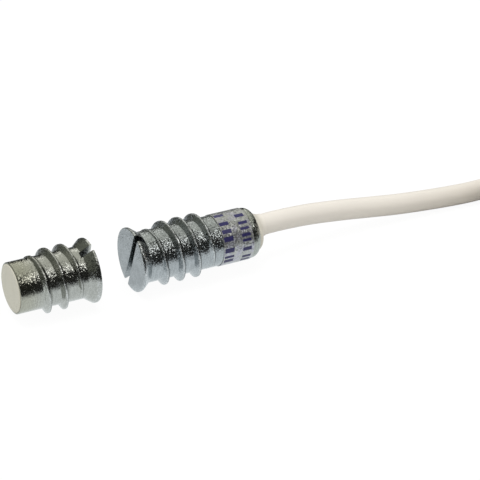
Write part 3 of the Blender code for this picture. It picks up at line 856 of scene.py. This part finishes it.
def zincPaint(unit):
    # zinc plate on a cast body: fine uneven grains; the crests brighter, partly wear and partly
    # a painted highlight, with painted highlight and shade lines along them, and painted shade in
    # the driver slot
    paint = Paint(unit["paint"])
    x, y, z = paint.parts(paint.position())
    z = z - axisHeight
    out = (y * y + z * z) ** 0.5
    fleck = paint.noise(zinc["fleck"], 1)
    cloud = paint.noise(zinc["cloud"], 3)
    dull, fair, pale, dark = ([share * t for t in unit["tint"]] + [1] for share in zinc["shades"])
    bright = paint.step(fleck, *zinc["fleckEdges"])
    colour = paint.mix(bright, paint.mix(cloud, dull, fair), pale)
    # crest tops paler in flecks: partly wear, partly a painted highlight
    crestWearAndHighlight = paint.step(out, *[barrel["radius"] + rise for rise in zinc["wearAndHighlightOut"]])
    colour = paint.mix(crestWearAndHighlight * bright * zinc["wearAndHighlightShare"], colour, zinc["crestWearAndHighlight"])
    # painted shade in the driver slot, stronger towards its top
    slotShade = slotShadeMask(paint, unit, x, y, z)
    colour = paint.mix(slotShade * zinc["slotShadeShare"], colour, zinc["slotShade"])
    # painted light along the crests: a broken painted highlight towards the camera, a painted shade
    # line away from it
    near, far = (
        strength * paint.step(paint.mark(name), *zinc["paintedLineEdges"])
        for name, strength in zip(("crestHighlight", "crestShade"), unit["crestPaintedLight"])
    )
    near = near * paint.step(fleck, *zinc["highlightBreaks"])
    colour = paint.mix(near, colour, zinc["paintedHighlight"])
    colour = paint.mix(far, colour, zinc["paintedCrestShade"])
    streak = paint.noise(zinc["streak"], 2, zinc["streakStretch"])
    streak = paint.step(streak, *zinc["streakEdges"])
    low = 1 - paint.step(z, *zinc["streakHeight"])
    colour = paint.mix(streak * low * zinc["streakShare"], colour, dark)
    rear = paint.step((x - unit["face"]) * unit["side"], *unit["warmRear"])
    warmth = paint.mix(rear, (1, 1, 1, 1), zinc["warmth"])
    lean = zinc["calm"] + (1 - zinc["calm"]) * paint.step(z, *zinc["calmBelow"])
    gloss, spread = zinc["gloss"]
    paint.set(
        {
            "Base Color": paint.vector("MULTIPLY", colour, warmth),
            # less metallic under the painted highlight, so that it shows as a pale colour
            "Metallic": 1 - zinc["highlightMatt"] * near,
            "Roughness": gloss + spread * cloud,
            "Normal": paint.grains(unit["grainSize"], unit["grainLean"] * lean),
        }
    )
    return paint.owner


def switchRear():
    # the edge rounds over as far as the bore
    length, size = switchUnit["length"], switchUnit["rearRound"]
    middle = barrel["radius"] - size
    last = math.degrees(math.asin((barrel["bore"] - middle) / size))
    return arcPoints(length - size, middle, size, 90, last, 10)


def magnetRear():
    # a thin round lip, from which the mouth narrows to the bore
    length, wall = magnetUnit["length"], magnetUnit["mouthWall"]
    mouth = barrel["radius"] - wall
    rear = arcPoints(length - wall / 2, barrel["radius"] - wall / 2, wall / 2, 90, 0, 4)
    return [*rear, (length, mouth), (length - (mouth - barrel["bore"]), barrel["bore"])]


makeHousing(switchUnit, switchRear())
makeHousing(magnetUnit, magnetRear())
print("metal bodies turned")


label = {
    "start": 14.0 * mm,
    "end": 19.2 * mm,
    "inner": 4.02 * mm,
    "outer": 4.12 * mm,
    "edge": 0.03 * mm,
    "steps": 144,
    "inkLift": 0.006 * mm,
    "inkStep": 2.5,
    # plain bars in place of the print: where each row lies, and the angles its bars span
    "rows": [
        {
            "from": 14.15 * mm,
            "to": 15.75 * mm,
            "bars": [
                (216, 205), (201, 194), (186, 175), (160, 149), (142, 133), (123, 114), (96, 86)
            ],
        },
        {
            "from": 17.25 * mm,
            "to": 18.75 * mm,
            "bars": [
                (226, 216), (211, 203), (190, 181), (168, 162),
                (157, 150), (142, 136), (129, 122), (110, 100),
            ],
        },
    ],
    "ink": {"pale": (30, 27, 74), "deep": (46, 42, 96), "cloud": 0.5 * mm, "rough": (0.34, 0.12)},
    # the film: clouds, a violet tint here and there, flecks and grains
    "cloud": 1.6 * mm,
    "dull": (0.37, 0.375, 0.365, 1),
    "fair": (0.47, 0.475, 0.46, 1),
    "tint": 1.1 * mm,
    "tintEdges": (0.48, 0.62),
    "tinted": (0.41, 0.405, 0.47, 1),
    "fleck": 0.16 * mm,
    "fleckRough": 0.7,
    "fleckEdges": (0.35, 0.65),
    "fleckShare": 0.5,
    "flecked": (0.64, 0.645, 0.645, 1),
    "grainSize": 0.13 * mm,
    "grainLean": 0.34,
    "metallic": 0.84,
    "rough": (0.24, 0.1),
    "coat": (0.25, 0.12),
}


def filmPaint():
    # clear film on the metal: mirrors as the metal does, a little violet and glossier
    paint = Paint("labelFilm")
    cloud = paint.noise(label["cloud"], 3)
    tint = paint.step(paint.noise(label["tint"], 2), *label["tintEdges"])
    fleck = paint.noise(label["fleck"], 2, roughness=label["fleckRough"])
    fleck = label["fleckShare"] * paint.step(fleck, *label["fleckEdges"])
    colour = paint.mix(cloud, label["dull"], label["fair"])
    colour = paint.mix(tint, colour, label["tinted"])
    gloss, spread = label["rough"]
    coat, coatRough = label["coat"]
    paint.set(
        {
            "Base Color": paint.mix(fleck, colour, label["flecked"]),
            "Metallic": label["metallic"],
            "Roughness": gloss + spread * cloud,
            "Coat Weight": coat,
            "Coat Roughness": coatRough,
            "Normal": paint.grains(label["grainSize"], label["grainLean"]),
        }
    )
    return paint.owner


def inkBar(bm, start, end, low, high):
    # A thin closed patch on the film between two angles, as seen round the axis from +Y.
    outer = label["outer"] + label["inkLift"]
    inner = label["outer"] - label["inkLift"]
    count = max(2, round((high - low) / label["inkStep"]))
    rings = []
    for i in range(count + 1):
        angle = math.radians(90 + low + (high - low) * i / count)
        spots = [(start, inner), (start, outer), (end, outer), (end, inner)]
        rings.append(
            [bm.verts.new((out * math.cos(angle), out * math.sin(angle), z)) for z, out in spots]
        )
    for a, b in zip(rings, rings[1:]):
        for i in range(4):
            bm.faces.new((a[i - 1], a[i], b[i], b[i - 1]))
    bm.faces.new(rings[0][::-1])
    bm.faces.new(rings[-1])


def makeLabel():
    inner, outer, edge = label["inner"], label["outer"], label["edge"]
    start, end = label["start"], label["end"]
    profile = [(start, inner), (start, outer - edge), (start + edge, outer)]
    profile += [(end - edge, outer), (end, outer - edge), (end, inner), (start, inner)]
    bm = bmesh.new()
    spun(bm, profile, label["steps"])
    bmesh.ops.remove_doubles(bm, verts=bm.verts, dist=tiny)
    finished("labelFilmWrap", bm, filmPaint(), "switch_unit", ["label_wrap"])
    bm = bmesh.new()
    for row in label["rows"]:
        for high, low in row["bars"]:
            inkBar(bm, row["from"], row["to"], low, high)
    ink = plainPaint("labelInk", label["ink"]).owner
    finished("labelBars", bm, ink, "switch_unit")
    print("label wrapped")


makeLabel()


resin = {
    "start": 18.1 * mm,
    "rim": 20.76 * mm,
    "end": 22.7 * mm,
    "outer": 3.15 * mm,
    "hole": 1.74 * mm,
    "lip": 1.79 * mm,
    # how the skin runs from the rim to the lip: bends given as (way along, way in)
    "topBends": ((0.25, 0.15), (0.4, 1.0)),
    "lowBends": ((0.78, 0.0), (0.05, 1.0)),
    "rings": 16,
    "back": 0.3 * mm,
    "rise": 0.57 * mm,
    "steps": 96,
    "pale": (219, 215, 202),
    "deep": (206, 201, 186),
    "thinFrom": 21.2 * mm,
    "thinColour": (231, 225, 214),
    "discStart": 10.7 * mm,
    "discFace": 12.87 * mm,
    "discBore": 3.15 * mm,
    "discRadius": 3.75 * mm,
    "discEdge": 0.14 * mm,
    "dome": 0.02 * mm,
    "domeSteps": 6,
    "discPale": (212, 209, 193),
    "discDeep": (205, 202, 185),
    "finish": {
        "cloud": 1.8 * mm,
        "grain": 0.25 * mm,
        "rough": (0.32, 0.18),
        "shine": 0.45,
        "grainShare": 0.4,
        "relief": (0.03 * mm, 0.5),
    },
}


def pottingPoint(angle, way):
    # A point of the resin's skin, from the rim, way 0, to the cable, way 1. The skin is hollow
    # at the top, where the cable is near the rim, and bulges round the rest before it turns in.
    low = smoothStep(1 + math.cos(angle))
    bends = [Vector((0, 0))]
    for top, bottom in zip(resin["topBends"], resin["lowBends"]):
        bends.append(Vector(top).lerp(Vector(bottom), low))
    bends.append(Vector((1, 1)))
    while len(bends) > 1:
        bends = [a.lerp(b, way) for a, b in zip(bends, bends[1:])]
    along, inward = bends[0]
    radius = resin["outer"] + (resin["lip"] - resin["outer"]) * inward
    return resin["rim"] + (resin["end"] - resin["rim"]) * along, radius, inward


def makePotting():
    # The resin is drawn up round the cable, which leaves off centre.
    bm = bmesh.new()
    steps, rings = resin["steps"], resin["rings"]
    columns = []
    for i in range(steps):
        angle = 2 * math.pi * i / steps
        points = [(resin["start"], resin["outer"], 0)]
        points += [pottingPoint(angle, k / rings) for k in range(rings + 1)]
        points += [(resin["end"], resin["hole"], 1), (resin["start"], resin["hole"], 1)]
        column = []
        for along, radius, share in points:
            x = radius * math.cos(angle) - resin["rise"] * share
            y = radius * math.sin(angle) + resin["back"] * share
            column.append(bm.verts.new((x, y, along)))
        columns.append(column)
    for a, b in zip(columns, columns[1:] + columns[:1]):
        for k, vert in enumerate(a):
            bm.faces.new((a[k - 1], vert, b[k], b[k - 1]))
    thin = (switchFace + resin["thinFrom"], switchFace + resin["end"], resin["thinColour"])
    paint = cloudyPaint("pottingResin", resin["finish"], resin["pale"], resin["deep"], thin)
    finished("pottingCone", bm, paint, "switch_unit", ["potting_resin"])


def makeDisc():
    # The cream face that closes the magnet unit, slightly domed, with a soft edge.
    face, radius, edge = resin["discFace"], resin["discRadius"], resin["discEdge"]
    dome, steps = resin["dome"], resin["domeSteps"]
    mouth = magnetUnit["length"] - (radius - resin["discBore"])
    profile = [(resin["discStart"], 0), (resin["discStart"], resin["discBore"])]
    profile += [(mouth, resin["discBore"]), (magnetUnit["length"], radius)]
    profile += arcPoints(face - dome - edge, radius - edge, edge, 90, 0, 5)
    for k in range(1, steps + 1):
        share = 1 - k / steps
        profile.append((face - dome * share**2, (radius - edge) * share))
    bm = bmesh.new()
    spun(bm, profile, resin["steps"])
    paint = cloudyPaint("discResin", resin["finish"], resin["discPale"], resin["discDeep"])
    finished("magnetDisc", bm, paint, "magnet_unit", ["magnet_resin"], magnetPlace)


makePotting()
makeDisc()
print("resin cast")


# in mm; the lock and the strap's free tail lie on top of the hank
tie = {
    "middle": 66.8,
    "width": 4.0,
    "thickness": 0.4,
    "chamfer": 0.15,
    "gap": 0.3,
    "halfBack": 19.025,
    "halfUp": 8.625,
    "corner": 1.725,
    "cornerSteps": 8,
    "lockBack": -6.0,
    "lockSize": (5.4, 4.6, 2.3),
    "lockRound": 0.5,
    "tailBack": 0.5,
    "tailUp": 1.1,
    "tailSize": (3.4, 9.0, 0.7),
    "tailRound": 0.12,
    "pale": (233, 232, 224),
    "deep": (222, 221, 212),
    "cloud": 2 * mm,
    "rough": (0.3, 0.15),
    "rib": 3 * mm,
    "ribWaver": 0.4,
    "relief": (0.05 * mm, 0.4),
}


def tieLoop(out, count):
    # the strap's outline across the hank, out from the hank's own: (back, up) pairs
    corner = tie["corner"] + out
    side, top = tie["halfBack"] + out - corner, tie["halfUp"] + out - corner
    points = []
    for quarter, (back, up) in enumerate(((1, 1), (-1, 1), (-1, -1), (1, -1))):
        for i in range(count + 1):
            angle = math.pi / 2 * (quarter + i / count)
            points.append(
                (back * side + corner * math.cos(angle), up * top + corner * math.sin(angle))
            )
    return points


def roundedBox(bm, size, middle, rounding, segments):
    # adds a box with round edges, all in mm
    corners = bmesh.ops.create_cube(bm, size=1)["verts"]
    bmesh.ops.scale(bm, vec=Vector(size) * mm, verts=corners)
    bmesh.ops.translate(bm, vec=Vector(middle) * mm, verts=corners)
    edges = list({edge for vert in corners for edge in vert.link_edges})
    offset = rounding * mm
    bmesh.ops.bevel(bm, geom=edges, offset=offset, segments=segments, affect="EDGES", profile=0.5)


def tiePaint():
    paint = plainPaint("tieNylon", tie)
    values = {"Vector": paint.position(), "Scale": 1 / tie["rib"], "Distortion": tie["ribWaver"]}
    rib = paint.add("ShaderNodeTexWave", {"bands_direction": "Y"}, values)
    paint.set({"Normal": paint.bump(rib, *tie["relief"])})
    return paint.owner


def makeTie():
    bm = bmesh.new()
    loops = []
    half, near, far = tie["width"] / 2, tie["gap"], tie["gap"] + tie["thickness"]
    slim = half - tie["chamfer"]
    for out, along in ((near, -half), (far, -slim), (far, slim), (near, half)):
        points = tieLoop(out, tie["cornerSteps"])
        loops.append([bm.verts.new((along * mm, back * mm, up * mm)) for back, up in points])
    for low, high in zip(loops, loops[1:] + loops[:1]):
        for i in range(len(low)):
            bm.faces.new((low[i - 1], low[i], high[i], high[i - 1]))
    top = tie["halfUp"] + far
    lock = (0, tie["lockBack"], top + tie["lockSize"][2] / 2)
    roundedBox(bm, tie["lockSize"], lock, tie["lockRound"], 3)
    tail = (0, tie["tailBack"], top + tie["tailUp"])
    roundedBox(bm, tie["tailSize"], tail, tie["tailRound"], 2)
    up = hank["floor"] + hank["rows"] * hank["spacing"] / 2
    place = Matrix.Translation(onGround(tie["middle"], hank["start"][1], up))
    print("tie closed")
    return finished(
        "cableTieStrap", bm, tiePaint(), "switch_unit", ["cable_tie"], place
    )


strap = makeTie()


# Stripped end, in mm: four conductors that fan out on the hank, and their tinned tips. Across and
# level say where a conductor lies in the jacket, fan how far across it ends.
strip = {
    "length": 22.0,
    "hidden": 1.0,
    "spread": 0.64,
    "radius": 0.5,
    "steps": 44,
    "rest": 19.45,
    "restFrom": 0.7,
    "tip": 6.1,
    "tipSteps": 24,
    "strand": 0.085,
    "strandsRound": 6,
    "twist": 5.0,
    "tinned": {
        "pale": (214, 212, 206),
        "deep": (188, 186, 180),
        "rough": (0.2, 0.12),
        "cloud": 0.8 * mm,
        "grain": 0.1 * mm,
        "relief": 0.01 * mm,
    },
    "finish": {
        "cloud": 2.5 * mm,
        "grain": 0.2 * mm,
        "rough": (0.3, 0.16),
        "shine": 0.45,
        "grainShare": 1,
        "relief": (0.015 * mm, 0.4),
    },
    "conductors": {
        "white": {"across": -1, "level": 1, "fan": -3.4},
        "brown": {"across": -1, "level": -1, "fan": -1.2},
        "green": {"across": 1, "level": -1, "fan": 1.2},
        "yellow": {"across": 1, "level": 1, "fan": 3.4},
    },
    "colours": {
        "white": ((226, 225, 220), (214, 213, 207)),
        "brown": ((112, 74, 52), (94, 60, 42)),
        "green": ((52, 140, 78), (40, 120, 64)),
        "yellow": ((232, 196, 60), (218, 180, 44)),
    },
}


def tailPoint(along, conductor):
    # A point of a tail, along from the jacket's end and across from its middle.
    share = along / strip["length"]
    side = conductor["across"] * strip["spread"]
    high = hank["endHeight"] + conductor["level"] * strip["spread"]
    x, y = hank["start"]
    back = y - hank["foldRadius"] - hank["spacing"]
    back += side + (conductor["fan"] - side) * smoothStep(share)
    up = high + (strip["rest"] - high) * smoothStep(share / strip["restFrom"])
    return onGround(x + hank["straight"] - along, back, up)


def makeTip(colour, start, way, material):
    # seven tinned strands, twisted, the last one in the middle
    side = way.cross(Vector((0, 0, 1))).normalized()
    above = side.cross(way)
    count, steps = strip["strandsRound"], strip["tipSteps"]
    lines = []
    for k in range(count + 1):
        out = 0 if k == count else 2 * strip["strand"] * mm
        line = []
        for i in range(steps + 1):
            along = strip["tip"] * i / steps
            turn = 2 * math.pi * (k / count + along / strip["twist"])
            across = side * math.cos(turn) + above * math.sin(turn)
            line.append(start + way * along * mm + across * out)
        lines.append(line)
    name, hides = f"tip{colour.title()}", [f"tip_{colour}"]
    return tubes(name, lines, strip["strand"] * mm, 2, material, hides)


def makeTails():
    tinned = metalPaint("tinnedCopper", strip["tinned"])
    hidden, steps = strip["hidden"], strip["steps"]
    pieces = []
    for colour, conductor in strip["conductors"].items():
        way = [(strip["length"] + hidden) * i / steps - hidden for i in range(steps + 1)]
        points = [tailPoint(along, conductor) for along in way]
        pvc = cloudyPaint(f"pvc{colour.title()}", strip["finish"], *strip["colours"][colour])
        name, slot, hides = f"tail{colour.title()}", f"wire_{colour}", [f"tail_{colour}"]
        pieces.append(tubes(name, [points], strip["radius"] * mm, 4, pvc, hides))
        onward = (points[-1] - points[-2]).normalized()
        pieces.append(makeTip(colour, points[-1], onward, tinned))
    print("tails fanned out")
    return pieces


def declareCord(pieces):
    onGround(*cable["mouth"])


declareCord([strap, *makeTails()])


# what the housings hide keeps its CAD solids and gets finer materials
inside = {
    "silicone": ((196, 196, 192), (180, 180, 176)),
    "glass": {
        "pale": (150, 196, 164),
        "deep": (170, 210, 182),
        "cloud": 1.5 * mm,
        "rough": (0.03, 0.05),
    },
    "glassClear": {"Transmission Weight": 0.85, "IOR": 1.5},
    "metals": {
        "reedAlloy": {
            "nodes": ["reed_lead_front", "reed_lead_rear", "reed_blade_front", "reed_blade_rear"],
            "pale": (206, 202, 194),
            "deep": (184, 180, 172),
            "rough": (0.16, 0.12),
            "cloud": 1.2 * mm,
            "grain": 0.15 * mm,
            "relief": 0.008 * mm,
        },
        "wireCopper": {
            "nodes": ["return_wire"],
            "pale": (214, 208, 198),
            "deep": (192, 184, 172),
            "rough": (0.24, 0.12),
            "cloud": 0.96 * mm,
            "grain": 0.12 * mm,
            "relief": 0.01 * mm,
        },
        "solderBead": {
            "nodes": ["solder_front", "solder_rear", "solder_return", "tamper_joint"],
            "pale": (206, 207, 210),
            "deep": (176, 178, 182),
            "rough": (0.18, 0.12),
            "cloud": 2.4 * mm,
            "grain": 0.3 * mm,
            "relief": 0.03 * mm,
        },
        "magnetAlloy": {
            "nodes": ["magnet"],
            "pale": (150, 149, 148),
            "deep": (122, 121, 121),
            "rough": (0.3, 0.12),
            "cloud": 1.6 * mm,
            "grain": 0.2 * mm,
            "relief": 0.02 * mm,
        },
    },
}


def dress(names, material):
    for name in names:
        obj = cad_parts[name]
        obj.data.materials.clear()
        obj.data.materials.append(material)


def dressInside():
    for colour, shades in strip["colours"].items():
        pvc = cloudyPaint(f"inner{colour.title()}", strip["finish"], *shades)
        dress([f"conductor_{colour}"], pvc)
    soft = cloudyPaint("silicone", strip["finish"], *inside["silicone"])
    dress(["reed_cushion", "return_sleeve"], soft)
    glass = plainPaint("sealGlass", inside["glass"], 2, **inside["glassClear"])
    dress(["reed_glass"], glass.owner)
    for name, look in inside["metals"].items():
        dress(look["nodes"], metalPaint(name, look))
    print("inner pieces finished")


dressInside()
